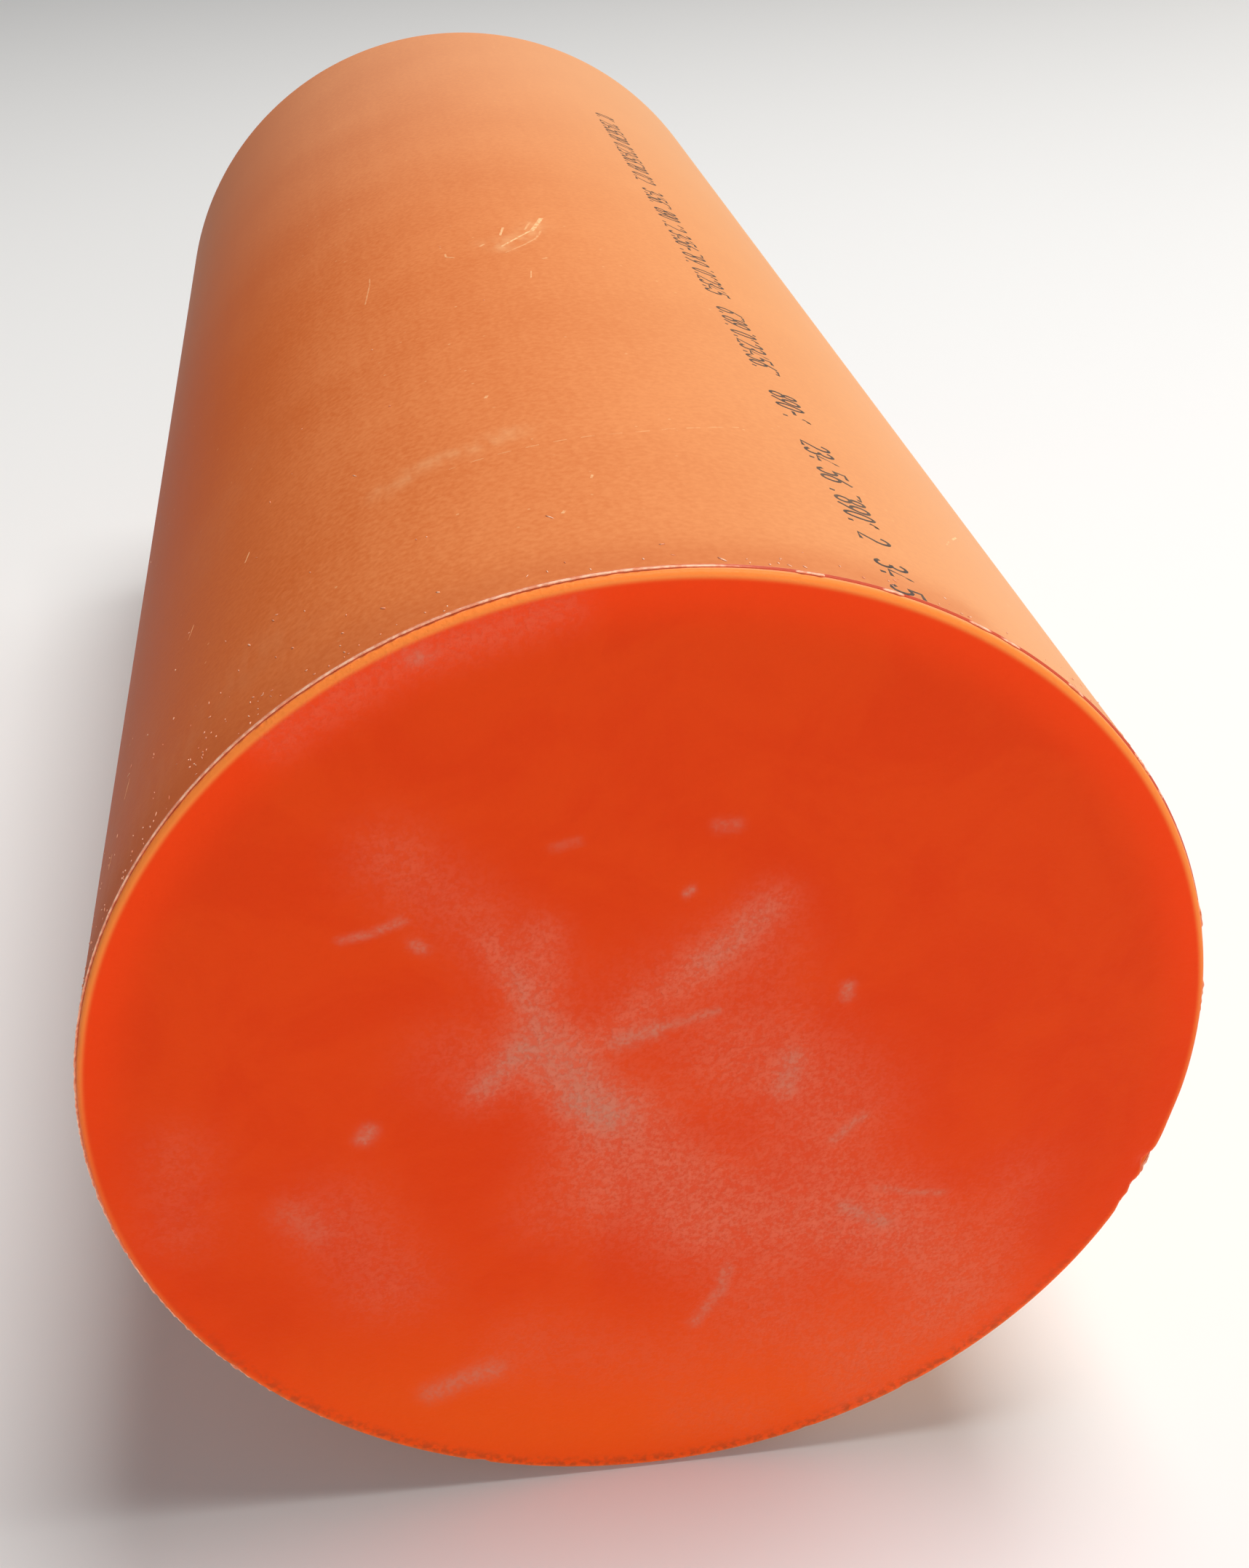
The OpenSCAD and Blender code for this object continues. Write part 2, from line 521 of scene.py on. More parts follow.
def piece_points(piece):
    """The points of a piece, in metres."""
    flat = np.empty(3 * len(piece.data.vertices), dtype=np.float32)
    piece.data.vertices.foreach_get("co", flat)
    return flat.reshape(-1, 3).astype(float)


# Strokes on the face, in millimetres right of and above its centre, then half width and strength.
CHALK = [
    ([(-25, 27), (-21, 17)], 2.6, 0.20),
    ([(-21, 12), (-15, 4), (-8, -6)], 6.2, 0.36),
    ([(-15, -2), (-9, -6)], 3.6, 0.50),
    ([(-31, 3), (-27, 8), (-24, 11)], 3.0, 0.46),
    ([(-7, 11), (-1, 13)], 2.4, 0.50),
    ([(-1, 13), (10, 16)], 1.2, 0.40),
    ([(8, 27), (13, 31), (17, 36)], 3.6, 0.26),
    ([(-52, -6), (-51, -4)], 1.9, 0.55),
    ([(-53, 37), (-48, 38), (-43, 40)], 1.0, 0.42),
    ([(-41, 35), (-40, 34)], 1.4, 0.45),
    ([(9, 54), (12, 54)], 1.5, 0.32),
    ([(4, 41), (5, 42)], 0.9, 0.50),
    ([(-18, 52), (-14, 53)], 1.0, 0.22),
    ([(33, 19), (33, 17)], 1.4, 0.60),
    ([(24, 4), (23, -3)], 3.0, 0.42),
    ([(33, -16), (38, -11)], 1.1, 0.50),
    ([(36, -33), (40, -36), (44, -38)], 2.0, 0.50),
    ([(42, -29), (48, -31), (55, -32)], 0.9, 0.34),
    ([(14, -46), (13, -52), (8, -60)], 1.5, 0.45),
    ([(-43, -72), (-37, -69), (-31, -67)], 3.2, 0.38),
    ([(-66, -22), (-62, -27)], 4.5, 0.18),
    ([(-39, 88), (-37, 88)], 1.8, 0.35),
]
HAZE = [
    ([(-29, 34), (-25, 27), (-21, 17), (-15, 6)], 3.6, 0.40),
    ([(-20, 35), (-21, 22), (-17, 8)], 5.0, 0.42),
    ([(-19, 8), (-8, -8)], 9.0, 0.55),
    ([(-12, 11), (-2, 19), (6, 25)], 4.5, 0.40),
    ([(6, 25), (13, 31), (19, 38)], 5.5, 0.50),
    ([(-32, 1), (-20, 11)], 5.0, 0.35),
    ([(-6, -8), (2, -20), (10, -34)], 9.0, 0.50),
    ([(12, 6), (26, -4), (30, -22)], 14, 0.40),
    ([(-60, 76), (-40, 88), (-16, 95)], 5.0, 0.30),
    ([(-8, -14), (6, -26), (24, -34), (42, -40)], 15, 0.55),
    ([(0, -30), (20, -46)], 17, 0.30),
    ([(42, -36), (54, -48), (58, -60)], 14, 0.42),
    ([(22, -62), (40, -72)], 14, 0.30),
    ([(20, 8), (36, -8)], 13, 0.28),
    ([(-2, 20), (16, 28)], 12, 0.26),
    ([(-44, 52), (-32, 40), (-22, 26)], 9, 0.30),
    ([(-34, 10), (-20, 10)], 12, 0.28),
    ([(-58, -24), (-50, -42)], 12, 0.30),
    ([(-20, -28), (-8, -24)], 10, 0.20),
    ([(-24, -62), (4, -70)], 13, 0.20),
    ([(70, -30), (66, -58), (40, -84)], 10, 0.22),
    ([(-84, -6), (-86, -24)], 9, 0.22),
    ([(8, -86), (20, -88)], 9, 0.20),
]

cap_xyz = piece_points(cap)
face_across = cap_xyz[:, 0] / MM
face_up = (cap_xyz[:, 2] - AXIS_Z) / MM
paint(cap, "chalk", CHALK, face_across, face_up)
paint(cap, "haze", HAZE, face_across, face_up)

# %% [markdown]
# ## Smears painted on the pipe
#
# The same brush works on the pipe once it is unrolled: distance from the cap's face in one direction, and length
# round the outside in the other. These are the wide soft marks. Scratches are thinner than the mesh's squares, so
# they get a mesh of their own in the next section.

# %% Paint the pipe


def round_mm(degrees):
    """Length round the outside, in millimetres, for an angle in degrees."""
    return math.radians(degrees) * OUTER_R / MM


def unrolled(points_in):
    """(distance in mm, angle in degrees) pairs as points on the unrolled pipe, in millimetres."""
    return [(distance, round_mm(degrees)) for distance, degrees in points_in]


SOFT_MARKS = [
    ([(64, 99.5), (61, 105), (60, 110), (57, 114)], 3.4, 0.46),
    ([(194, 89.6), (186, 91.4), (181.5, 93.7), (177, 95)], 3.6, 0.60),
    ([(184, 96), (181, 98)], 3.0, 0.18),
    ([(120, 130), (90, 140)], 12, 0.06),
    ([(26, 128), (14, 150), (8, 176)], 11, 0.10),
    ([(40, 150), (22, 178)], 12, 0.07),
]
END_GRIME = [
    ([(4, 62), (4, 84), (4, 104), (4, 120)], 9, 0.75),
    ([(3, 120), (3, 150), (4, 185)], 14, 0.85),
    ([(3, 10), (3, 40)], 10, 0.55),
    ([(22, 122), (18, 135)], 5, 0.35),
]

pipe_xyz = piece_points(pipe)
pipe_round = np.degrees(np.arctan2(pipe_xyz[:, 2] - AXIS_Z, pipe_xyz[:, 0])) % 360
pipe_distance = (pipe_xyz[:, 1] - CAP_FACE) / MM
pipe_length_round = np.radians(pipe_round) * OUTER_R / MM
paint(pipe, "scuff", [(unrolled(stroke), width, strength) for stroke, width, strength in SOFT_MARKS],
      pipe_distance, pipe_length_round)
paint(pipe, "grime", [(unrolled(stroke), width, strength) for stroke, width, strength in END_GRIME],
      pipe_distance, pipe_length_round)
burr_xyz = piece_points(burr)
burr_radius = np.hypot(burr_xyz[:, 0], burr_xyz[:, 2] - AXIS_Z)
stands_out = step_surface(burr_radius) - burr_xyz[:, 1]
layer = burr.data.attributes.new("proud", "FLOAT", "POINT")
layer.data.foreach_set("value", np.clip(stands_out / BURR_PROUD, 0, 1).astype(np.float32))

# %% [markdown]
# ## Scratches
#
# A scratch is a pale line thinner than the mesh's squares, so each is a ribbon like a pen stroke, cut into short
# lengths. How strongly it shows is stored on its points, and the material mixes it with the pipe's own colour.

# %% Make the scratches
SCRATCH_POINTS = 12
SCRATCH_DRAWN = 0.7

# Scratches on the pipe: points as distance from the cap's face in mm and angle in degrees, width in mm, strength.
SCRATCHES = [
    ([(199, 88.5), (192, 89.7), (188.5, 90.4)], 1.5, 0.75),
    ([(196, 90.2), (190, 91.2)], 0.7, 0.5),
    ([(188, 89.2), (182, 90.2), (177, 92.2), (172.5, 94.8)], 0.8, 0.35),
    ([(188, 90.8), (182, 93.2), (178, 94.9)], 0.9, 0.75),
    ([(193, 94), (187, 94.7)], 0.8, 0.7),
    ([(181.6, 97.1), (180.4, 97.7)], 0.9, 0.5),
    ([(180, 102.4), (177.7, 102.4), (175.7, 101.4)], 0.6, 0.5),
    ([(182, 112.9), (177.5, 113), (165, 113.9)], 0.5, 0.35),
    ([(156.7, 92.4), (151.7, 92.7)], 0.4, 0.6),
    ([(166, 89.8), (165.3, 90.3)], 0.9, 0.35),
    ([(53, 51.5), (48.6, 53.1)], 0.6, 0.8),
    ([(45, 54.4), (41, 55.6)], 0.4, 0.4),
    ([(64, 76.5), (60.5, 81.5), (57, 88), (55.5, 99), (55, 107)], 0.5, 0.3),
    ([(84.5, 101.6), (83.6, 101.8)], 0.9, 0.45),
    ([(39, 93.7), (37.8, 93.9)], 0.6, 0.6),
    ([(26, 97.3), (25.4, 97.5)], 0.8, 0.5),
    ([(70, 131), (67, 131.6)], 0.45, 0.6),
    ([(64, 140), (60.5, 140.8)], 0.45, 0.5),
    ([(41, 152.5), (37, 153.5)], 0.45, 0.6),
    ([(24, 155.5), (21.5, 156.3)], 0.45, 0.6),
]


def make_scratches():
    """All the scratches as one mesh, with a number on each point for how strongly it shows."""
    points, faces, shown, total = [], [], [], 0
    for stroke, width, strength in SCRATCHES:
        corners = np.array(unrolled(stroke)) * MM
        lengths = np.concatenate([[0], np.cumsum(np.linalg.norm(np.diff(corners, axis=0), axis=1))])
        where = np.linspace(0, lengths[-1], SCRATCH_POINTS)
        centre = np.column_stack([np.interp(where, lengths, corners[:, i]) for i in range(2)])
        flat, strip = ribbon(centre, SCRATCH_DRAWN * width * MM)
        points.append(place(flat[:, 2], flat[:, 1] / OUTER_R, CAP_FACE + flat[:, 0]))
        faces.append(strip + total)
        shown.append(np.full(len(flat), strength, dtype=np.float32))
        total += len(flat)
    piece = make_object("scratches", np.concatenate(points), np.concatenate(faces))
    piece.data.attributes.new("shown", "FLOAT", "POINT").data.foreach_set("value", np.concatenate(shown))
    return piece


scratches = make_scratches()
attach(scratches, "root")

# %% [markdown]
# ## Shader maths as Python
#
# A material is a small program drawn as nodes. Writing it as Python keeps it readable: a Wire stands for the
# output of a node, and adding or multiplying two wires adds the Math node that does it. Everything that isn't
# plain arithmetic comes from one method, which takes the node's type, its settings and what goes into it.


# %% The Wire class
class Wire:
    """The output socket of a node, usable in arithmetic."""

    def __init__(self, tree, socket):
        self.tree = tree
        self.socket = socket

    def node(self, kind, settings=None, inputs=None, output=0):
        """Adds a node: its settings first, then its inputs as numbers, tuples or wires. Returns one output."""
        made = self.tree.nodes.new(kind)
        for name, value in (settings or {}).items():
            setattr(made, name, value)
        for key, value in (inputs or {}).items():
            if isinstance(value, Wire):
                self.tree.links.new(value.socket, made.inputs[key])
            else:
                made.inputs[key].default_value = value
        return Wire(self.tree, made.outputs[output])

    def math(self, operation, *values):
        """Adds a Math node with these values, in order."""
        return self.node("ShaderNodeMath", {"operation": operation}, dict(enumerate(values)))

    def __add__(self, other):
        return self.math("ADD", self, other)

    def __sub__(self, other):
        return self.math("SUBTRACT", self, other)

    def __rsub__(self, other):
        return self.math("SUBTRACT", other, self)

    def __mul__(self, other):
        return self.math("MULTIPLY", self, other)

    def __truediv__(self, other):
        return self.math("DIVIDE", self, other)

    __radd__ = __add__
    __rmul__ = __mul__

    def power(self, exponent):
        """This value raised to a power."""
        return self.math("POWER", self, exponent)

    def at_most(self, other):
        """The smaller of two values."""
        return self.math("MINIMUM", self, other)

    def at_least(self, other):
        """The larger of two values."""
        return self.math("MAXIMUM", self, other)

    def step(self, start, end):
        """A smooth step: 0 where this value is start, 1 where it is end, which may be the smaller one."""
        smooth = {"interpolation_type": "SMOOTHSTEP", "clamp": True}
        if start < end:
            return self.node("ShaderNodeMapRange", smooth, {0: self, 1: start, 2: end, 3: 0.0, 4: 1.0})
        return self.node("ShaderNodeMapRange", smooth, {0: self, 1: end, 2: start, 3: 1.0, 4: 0.0})

    def blend(self, colour_0, colour_1):
        """A colour between two colours: the first where this value is 0 and the second where it is 1."""
        return self.node("ShaderNodeMix", {"data_type": "RGBA"}, {0: self, 6: colour_0, 7: colour_1}, output=2)


def colour(red, green, blue):
    """A paint colour given as 0 to 255 on a screen, as the linear numbers that a shader works with."""
    screen = np.array([red, green, blue]) / 255
    linear = np.where(screen <= 0.04045, screen / 12.92, ((screen + 0.055) / 1.055) ** 2.4)
    return (*linear.tolist(), 1.0)


class Surface:
    """What every material of this object starts from: a Principled shader and the places on the piece."""

    def __init__(self, name, **sockets):
        self.material = bpy.data.materials.new(name)
        self.material.use_nodes = True
        self.tree = self.material.node_tree
        self.shader = self.tree.nodes["Principled BSDF"]
        for socket, value in sockets.items():
            self.shader.inputs[socket.replace("_", " ")].default_value = value
        self.wire = Wire(self.tree, None)
        self.point = self.wire.node("ShaderNodeTexCoord", output="Object")
        parts = [self.wire.node("ShaderNodeSeparateXYZ", inputs={0: self.point}, output=i) for i in range(3)]
        self.x, self.y, self.z = parts
        self.up = self.z - AXIS_Z
        self.radius = self.wire.math("SQRT", self.x * self.x + self.up * self.up)
        self.distance = (self.y - CAP_FACE) / MM

    def noise(self, size, detail=2.0, stretch=(1, 1, 1), roughness=0.5, distortion=0.0):
        """Fractal noise from 0 to 1 whose lumps are about a size in metres, stretched along the axes."""
        scale = tuple(1 / s for s in stretch)
        where = self.wire.node("ShaderNodeMapping", inputs={"Vector": self.point, "Scale": scale})
        inputs = {"Vector": where, "Scale": 1 / size, "Detail": detail, "Roughness": roughness,
                  "Distortion": distortion}
        return self.wire.node("ShaderNodeTexNoise", inputs=inputs)

    def cells(self, size):
        """The distance to the nearest of a scatter of points about a size in metres apart, in such sizes."""
        return self.wire.node("ShaderNodeTexVoronoi", inputs={"Vector": self.point, "Scale": 1 / size},
                              output="Distance")

    def painted(self, name):
        """The number that was painted on the mesh's points."""
        return self.wire.node("ShaderNodeAttribute", {"attribute_name": name}, output="Fac")

    def finish(self, base, roughness, height=None, depth=0.0):
        """Connects colour, roughness and, as a bump of a depth in metres, a height from 0 to 1."""
        self.tree.links.new(base.socket, self.shader.inputs["Base Color"])
        self.tree.links.new(roughness.socket, self.shader.inputs["Roughness"])
        if height is not None:
            bump = self.wire.node("ShaderNodeBump", inputs={"Strength": 1.0, "Distance": depth, "Height": height})
            self.tree.links.new(bump.socket, self.shader.inputs["Normal"])
        print(f"{self.material.name}: {len(self.tree.nodes)} nodes")
        return self.material


# %% [markdown]
# ## Pipe plastic
#
# Drain pipe is an orange-brown plastic with a dull, faintly mottled skin. The mottling is a fine grain, a little
# cloudiness, and very weak streaks along the pipe from the extruder. Light and shade are painted into the colour:
# the side that faces the light is painted paler as painted light and sheen, the side turned from it is painted
# deeper as painted shade, and the far half is painted paler as a painted sheen. The sawn faces are rougher and
# paler, and the bore is smoother than the outside. Scratches share the plain plastic's colour, painted light and
# shade included, so their weak parts melt into it.

# %% Pipe material
PIPE_COLOUR = colour(220, 118, 58)
PIPE_DEEP = colour(214, 106, 46)
PIPE_PALE = colour(230, 132, 74)
# Painted light and sheen: the paler colour given to the side that faces the light.
PIPE_LIT_SHEEN = colour(232, 176, 122)
SCUFF_COLOUR = colour(255, 214, 160)
GRIME_COLOUR = colour(196, 98, 52)
SAWN_COLOUR = colour(240, 176, 136)
# Painted shade: the deeper colour of the side turned from the light.
PIPE_SHADED = colour(206, 86, 12)
# Painted sheen: the paler colour of the far half, as a grazing reflection makes it look.
PIPE_FAR_SHEEN = colour(224, 178, 142)
SUN_SIDE = math.radians(-10)
MOST_LIT_SHEEN = 0.75
MOST_SHADED = 0.8
MOST_FAR_SHEEN = 0.34
FAR_SHEEN_STARTS = -60 * MM


def pipe_base(s):
    """Mottling, painted light, shade and far sheen. Returns the colour, the grain and where it is outside."""
    grain = s.noise(1.1 * MM, 3.0)
    cloud = s.noise(38 * MM, 3.0)
    streak = s.noise(3.5 * MM, 2.0, stretch=(1, 60, 1))
    tone = (grain * 0.56 + cloud * 0.34 + streak * 0.1).step(0.28, 0.72)
    outside = s.radius.step(OUTER_R - 0.4 * MM, OUTER_R - 0.1 * MM)
    towards_sun = (s.x * math.cos(SUN_SIDE) + s.up * math.sin(SUN_SIDE)) / OUTER_R
    # Painted light and sheen: the side towards the light is painted paler.
    lit_sheen = towards_sun.step(-0.85, 0.82) * outside * MOST_LIT_SHEEN
    # Painted shade: the side turned from the light is painted deeper.
    shaded = towards_sun.step(-0.55, -1.0) * outside * MOST_SHADED
    plain = shaded.blend(tone.blend(PIPE_DEEP, PIPE_PALE), PIPE_SHADED)
    # Painted sheen: the far half is painted paler, towards the open end.
    far_sheen = s.y.step(FAR_SHEEN_STARTS, OPEN_END) * outside * MOST_FAR_SHEEN
    return far_sheen.blend(lit_sheen.blend(plain, PIPE_LIT_SHEEN), PIPE_FAR_SHEEN), grain, outside


def pipe_material():
    """The plain plastic, then soft scuffs, grime, and the sawn faces."""
    s = Surface("pipe_plastic_look", Specular_IOR_Level=0.06)
    base, grain, outside = pipe_base(s)
    grime = (s.painted("grime") * (0.55 + 0.9 * s.noise(5 * MM, 3.0))).at_most(1.0) * outside
    base = (grime * 0.45).blend(base, GRIME_COLOUR)
    scuff = s.painted("scuff") * s.noise(2.6 * MM, 2.0, stretch=(1, 3, 1)).step(0.2, 0.8) * outside
    specks = s.cells(4.5 * MM).step(0.085, 0.04) * s.noise(30 * MM, 1.0).step(0.5, 0.62) * outside
    pale = (scuff * 0.55).at_least(specks * 0.3)
    base = pale.blend(base, SCUFF_COLOUR)
    ends = s.y.step(OPEN_END - 0.5 * MM, OPEN_END - 0.15 * MM).at_least(s.y.step(JOINT + 0.5 * MM, JOINT + 0.15 * MM))
    turned = s.wire.node("ShaderNodeMapping", inputs={"Vector": s.point, "Rotation": (0, SAW_ANGLE, 0)})
    saw = s.wire.node("ShaderNodeTexWave", {"bands_direction": "X", "wave_profile": "SIN"},
                      {"Vector": turned, "Scale": 260.0, "Distortion": 1.6, "Detail": 2.0, "Detail Scale": 2.0},
                      output="Fac")
    base = ends.blend(base, (saw * 0.45 + grain * 0.35).blend(SAWN_COLOUR, PIPE_COLOUR))
    roughness = 0.5 + 0.12 * (grain - 0.5) + 0.16 * pale + 0.12 * grime + 0.2 * ends - 0.1 * (1 - outside)
    height = grain * 0.85 + pale * 0.35 + ends * saw
    return s.finish(base, roughness, height, 0.045 * MM)


def scratches_material():
    """The pipe's colour, with its painted light and shade, broken up by the pale of a scratch."""
    s = Surface("scratches_look", Specular_IOR_Level=0.06)
    base, grain, outside = pipe_base(s)
    pale = s.painted("shown") * (0.35 + 0.65 * s.noise(0.9 * MM, 2.0).step(0.36, 0.56))
    return s.finish(pale.blend(base, SCUFF_COLOUR), 0.5 + 0.16 * pale, grain * outside, 0.03 * MM)


pipe.data.materials.append(pipe_material())
scratches.data.materials.append(scratches_material())

# %% [markdown]
# ## Burr and shavings
#
# Torn plastic is full of tiny cracks, so it looks paler than the pipe and a little waxy. The burr is pale where it
# stands proud, and where it is missing the groove is painted a dark orange-red: painted shade in the groove, with a
# painted reflection of the cap's red.

# %% Burr and shavings materials
TORN_COLOUR = colour(255, 205, 172)
TORN_DEEP = colour(236, 150, 112)
# Painted shade and reflection: the dark orange-red of the open groove.
GROOVE_SHADE_COLOUR = colour(204, 80, 50)


def burr_material():
    """Pale where the burr is proud, dark orange-red painted shade and cap reflection where the groove is open."""
    s = Surface("sawn_edge_look", Specular_IOR_Level=0.4)
    torn = s.noise(1.2 * MM, 3.0).step(0.35, 0.65).blend(TORN_DEEP, TORN_COLOUR)
    # Painted shade and reflection: where the burr is low, the groove is painted dark orange-red.
    base = s.painted("proud").step(0.12, 0.55).blend(GROOVE_SHADE_COLOUR, torn)
    return s.finish(base, 0.45 + 0.2 * s.noise(0.8 * MM), s.noise(0.5 * MM, 3.0), 0.08 * MM)


def shavings_material():
    """Crumbs in pale tones that vary from one to the next."""
    s = Surface("shavings_look", Specular_IOR_Level=0.4)
    base = s.noise(2.2 * MM, 1.0).step(0.3, 0.7).blend(TORN_DEEP, TORN_COLOUR)
    return s.finish(base, 0.5 + 0.15 * s.noise(0.8 * MM), s.noise(0.3 * MM, 2.0), 0.03 * MM)


burr.data.materials.append(burr_material())
shavings.data.materials.append(shavings_material())

# %% [markdown]
# ## Ink
#
# Ink-jet drops spread on plastic and dry thin, so the strokes are a warm grey, darker where the drops ran together
# and worn through in places.

# %% Ink material
INK_DARK = colour(70, 60, 54)
INK_THIN = colour(106, 84, 66)


def ink_material():
    """Warm grey ink, thin in places."""
    s = Surface("ink_look", Specular_IOR_Level=0.3)
    drops = s.noise(0.9 * MM, 3.0)
    wear = s.noise(14 * MM, 2.0)
    base = (drops * 0.6 + wear * 0.4).step(0.38, 0.64).blend(INK_DARK, INK_THIN)
    return s.finish(base, 0.62 + 0.1 * drops, drops, 0.01 * MM)


print_line.data.materials.append(ink_material())

# %% [markdown]
# ## Cap plastic
#
# The cap is a softer, slightly see-through plastic in a strong orange-red. Light that enters its edge comes out
# beside it, so the rounded rim glows orange and the face is a little brighter next to it; that glow is painted
# into the colour as painted light, stronger on the upper side. The flange's side is painted pale as a painted
# sheen, and the lower part of the face is painted brighter as painted light bounced up from the floor. The face
# has a fine leathery grain. Dust sits in the grain and turns it greyish pink, so the painted smears are broken up
# by the same noise that drives the bump.

# %% Cap material
CAP_COLOUR = colour(224, 60, 4)
CAP_WARM = colour(228, 66, 6)
# Painted light: a brighter orange for the lower face, as light bounced up from the floor.
CAP_BOUNCE_LIGHT = colour(248, 90, 18)
# Painted light: the brighter red glow just inside the rim.
CAP_NEAR_RIM_GLOW = colour(246, 66, 8)
# Painted light: the orange glow of the rounded edge.
CAP_EDGE_GLOW = colour(255, 138, 62)
# Painted sheen: the pale colour of the flange's side.
CAP_SIDE_SHEEN = colour(255, 163, 106)
CHALK_COLOUR = colour(198, 136, 114)
HAZE_COLOUR = colour(233, 111, 82)
RIM_DIRT = colour(150, 66, 36)


def cap_material():
    """Orange-red with painted rim glow, side sheen and floor bounce; leathery grain, haze and chalky smears."""
    s = Surface("cap_plastic_look", Specular_IOR_Level=0.08, Subsurface_Weight=0.12,
                Subsurface_Radius=(1.0, 0.35, 0.12), Subsurface_Scale=2.5 * MM)
    grain = s.noise(1.5 * MM, 4.0, roughness=0.6)
    crease = s.noise(2.4 * MM, 1.0, distortion=0.8)
    cloud = s.noise(26 * MM, 4.0, roughness=0.6, distortion=0.6)
    front = s.distance.step(0.8, 0.35)
    base = cloud.step(0.35, 0.65).blend(CAP_COLOUR, CAP_WARM)
    # Painted light: the lower part of the face is painted brighter, as light bounced up from the floor.
    base = s.up.step(-0.35 * OUTER_R, -OUTER_R).blend(base, CAP_BOUNCE_LIGHT)
    # Painted light: the glow near the rim and at the edge is painted stronger on the upper side, where light falls.
    upper = s.up.step(-0.2 * OUTER_R, 0.35 * OUTER_R)
    near_rim_glow = s.radius.step(0.86 * FLANGE_R, 0.985 * FLANGE_R).power(1.6) * (0.25 + 0.75 * upper)
    base = near_rim_glow.blend(base, CAP_NEAR_RIM_GLOW)
    fine = s.noise(0.8 * MM, 2.0)
    leather = (0.5 * grain + 0.5 * fine).step(0.38, 0.62)
    haze = (s.painted("haze") * (0.5 + cloud) * (0.55 + 0.9 * leather)).at_most(1.0)
    chalk = (s.painted("chalk") * (0.55 + 0.6 * cloud) * (0.6 + 0.7 * leather)).at_most(1.0)
    base = (haze * 0.85 * front).blend(base, HAZE_COLOUR)
    base = (chalk * front).blend(base, CHALK_COLOUR)
    low_rim = s.radius.step(0.955 * FLANGE_R, 0.993 * FLANGE_R) * s.up.step(-0.3 * OUTER_R, -0.8 * OUTER_R)
    base = (low_rim * s.noise(1.3 * MM, 4.0).step(0.36, 0.66) * 0.6).blend(base, RIM_DIRT)
    # Painted glow: the rounded edge is painted bright orange, stronger on the upper side.
    edge = s.radius.step(FACE_R - 0.9 * MM, FACE_R + 0.35 * MM).power(2.0)
    # Painted sheen: the flange's side is painted pale, as a grazing reflection.
    side = s.distance.step(0.7, 1.4) * s.radius.step(FLANGE_R - 0.4 * MM, FLANGE_R - 0.05 * MM)
    base = (edge * (0.35 + 0.65 * upper)).blend(base, CAP_EDGE_GLOW)
    base = side.blend(base, CAP_SIDE_SHEEN)
    roughness = 0.42 + 0.2 * haze + 0.25 * chalk + 0.1 * (grain - 0.5)
    height = grain * 0.6 + crease * 0.5 + leather * (0.3 + 1.6 * haze)
    return s.finish(base, roughness, height, 0.09 * MM)


cap.data.materials.append(cap_material())

# %% [markdown]
# ## Floor, light and camera
#
# The pipe lies on a plain pale floor that reaches past the camera's view. One soft lamp hangs over the pipe, one
# stands at its right, and a low one in front lights the cap, under a weak sky. The camera is close to the cap and
# looks down on it, so the cap looks much larger than the far end: that strong taper is what makes the view.

# %% Floor
FLOOR_SIZE = 30.0


def make_floor():
    """A pale floor under the pipe, which is not part of the object."""
    half = FLOOR_SIZE / 2
    mesh = bpy.data.meshes.new("floor")
    mesh.from_pydata([(-half, -half, 0), (half, -half, 0), (half, half, 0), (-half, half, 0)], [], [(0, 1, 2, 3)])
    floor = bpy.data.objects.new("floor", mesh)
    bpy.context.scene.collection.objects.link(floor)
    paint_coat = bpy.data.materials.new("floor_paint")
    paint_coat.use_nodes = True
    paint_coat.node_tree.nodes["Principled BSDF"].inputs["Base Color"].default_value = (0.86, 0.86, 0.86, 1)
    paint_coat.node_tree.nodes["Principled BSDF"].inputs["Roughness"].default_value = 0.9
    mesh.materials.append(paint_coat)
    return floor


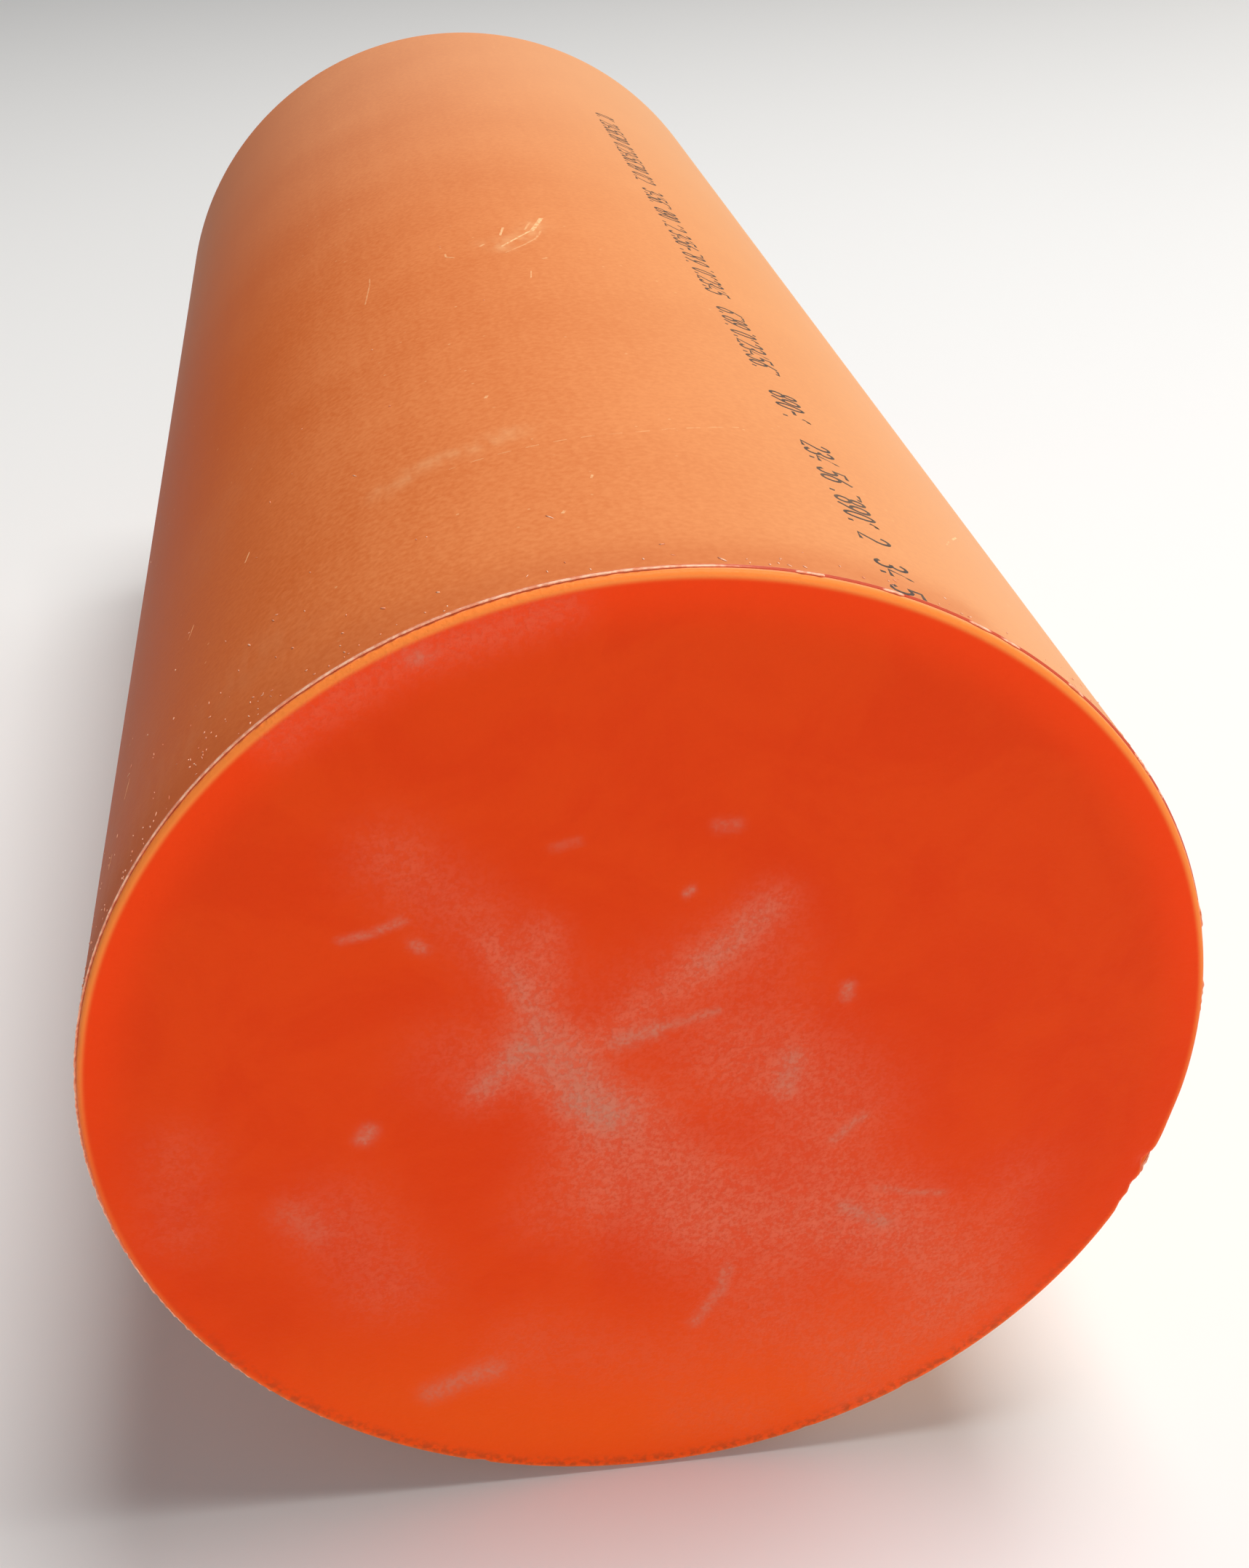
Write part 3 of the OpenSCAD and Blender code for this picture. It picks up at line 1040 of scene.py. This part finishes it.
make_floor()

# %% Light
CENTRE = np.array([0.0, 0.0, AXIS_Z])


def area_light(name, offset, size, power, tint=(1, 1, 1)):
    """A square soft light at an offset from the middle of the pipe, turned to face it."""
    light = bpy.data.lights.new(name, "AREA")
    light.size = size
    light.energy = power
    light.color = tint
    lamp = bpy.data.objects.new(name, light)
    lamp.location = CENTRE + offset
    direction = -np.array(offset, dtype=float)
    flat = math.hypot(direction[0], direction[1])
    lamp.rotation_euler = (math.atan2(flat, -direction[2]), 0, math.atan2(-direction[0], direction[1]))
    bpy.context.scene.collection.objects.link(lamp)


def make_sky(strength):
    """A weak even sky."""
    world = bpy.data.worlds.new("sky")
    world.use_nodes = True
    background = world.node_tree.nodes["Background"]
    background.inputs["Color"].default_value = (0.95, 0.97, 1.0, 1)
    background.inputs["Strength"].default_value = strength
    bpy.context.scene.world = world


make_sky(0.14)
area_light("key", (0.5, 0.1, 2.1), 1.1, 45, (1.0, 0.98, 0.95))
area_light("side", (2.0, 1.3, 0.8), 1.6, 16.5, (1.0, 0.97, 0.92))
area_light("front", (0.3, -2.3, 0.45), 1.4, 23)

# %% Camera
LENS = 43.5
CAMERA_OFFSET = (-0.4573, -2.539, 2.1938)
TURN_RIGHT = math.radians(7.646)
TILT_DOWN = math.radians(31.534)
SIDE_SHIFT = 0.0203
UP_SHIFT = 0.0052


def make_camera():
    """Camera place as multiples of the pipe's radius from the middle of the cap's face."""
    lens = bpy.data.cameras.new("camera")
    lens.lens = LENS
    lens.sensor_width = 36
    lens.shift_x = SIDE_SHIFT
    lens.shift_y = UP_SHIFT
    lens.clip_start = 0.01
    camera = bpy.data.objects.new("camera", lens)
    camera.location = np.array([0, CAP_FACE, AXIS_Z]) + OUTER_R * np.array(CAMERA_OFFSET)
    camera.rotation_euler = (math.pi / 2 - TILT_DOWN, 0, -TURN_RIGHT)
    bpy.context.scene.collection.objects.link(camera)
    bpy.context.scene.camera = camera


make_camera()
bpy.context.scene.view_settings.view_transform = "Standard"
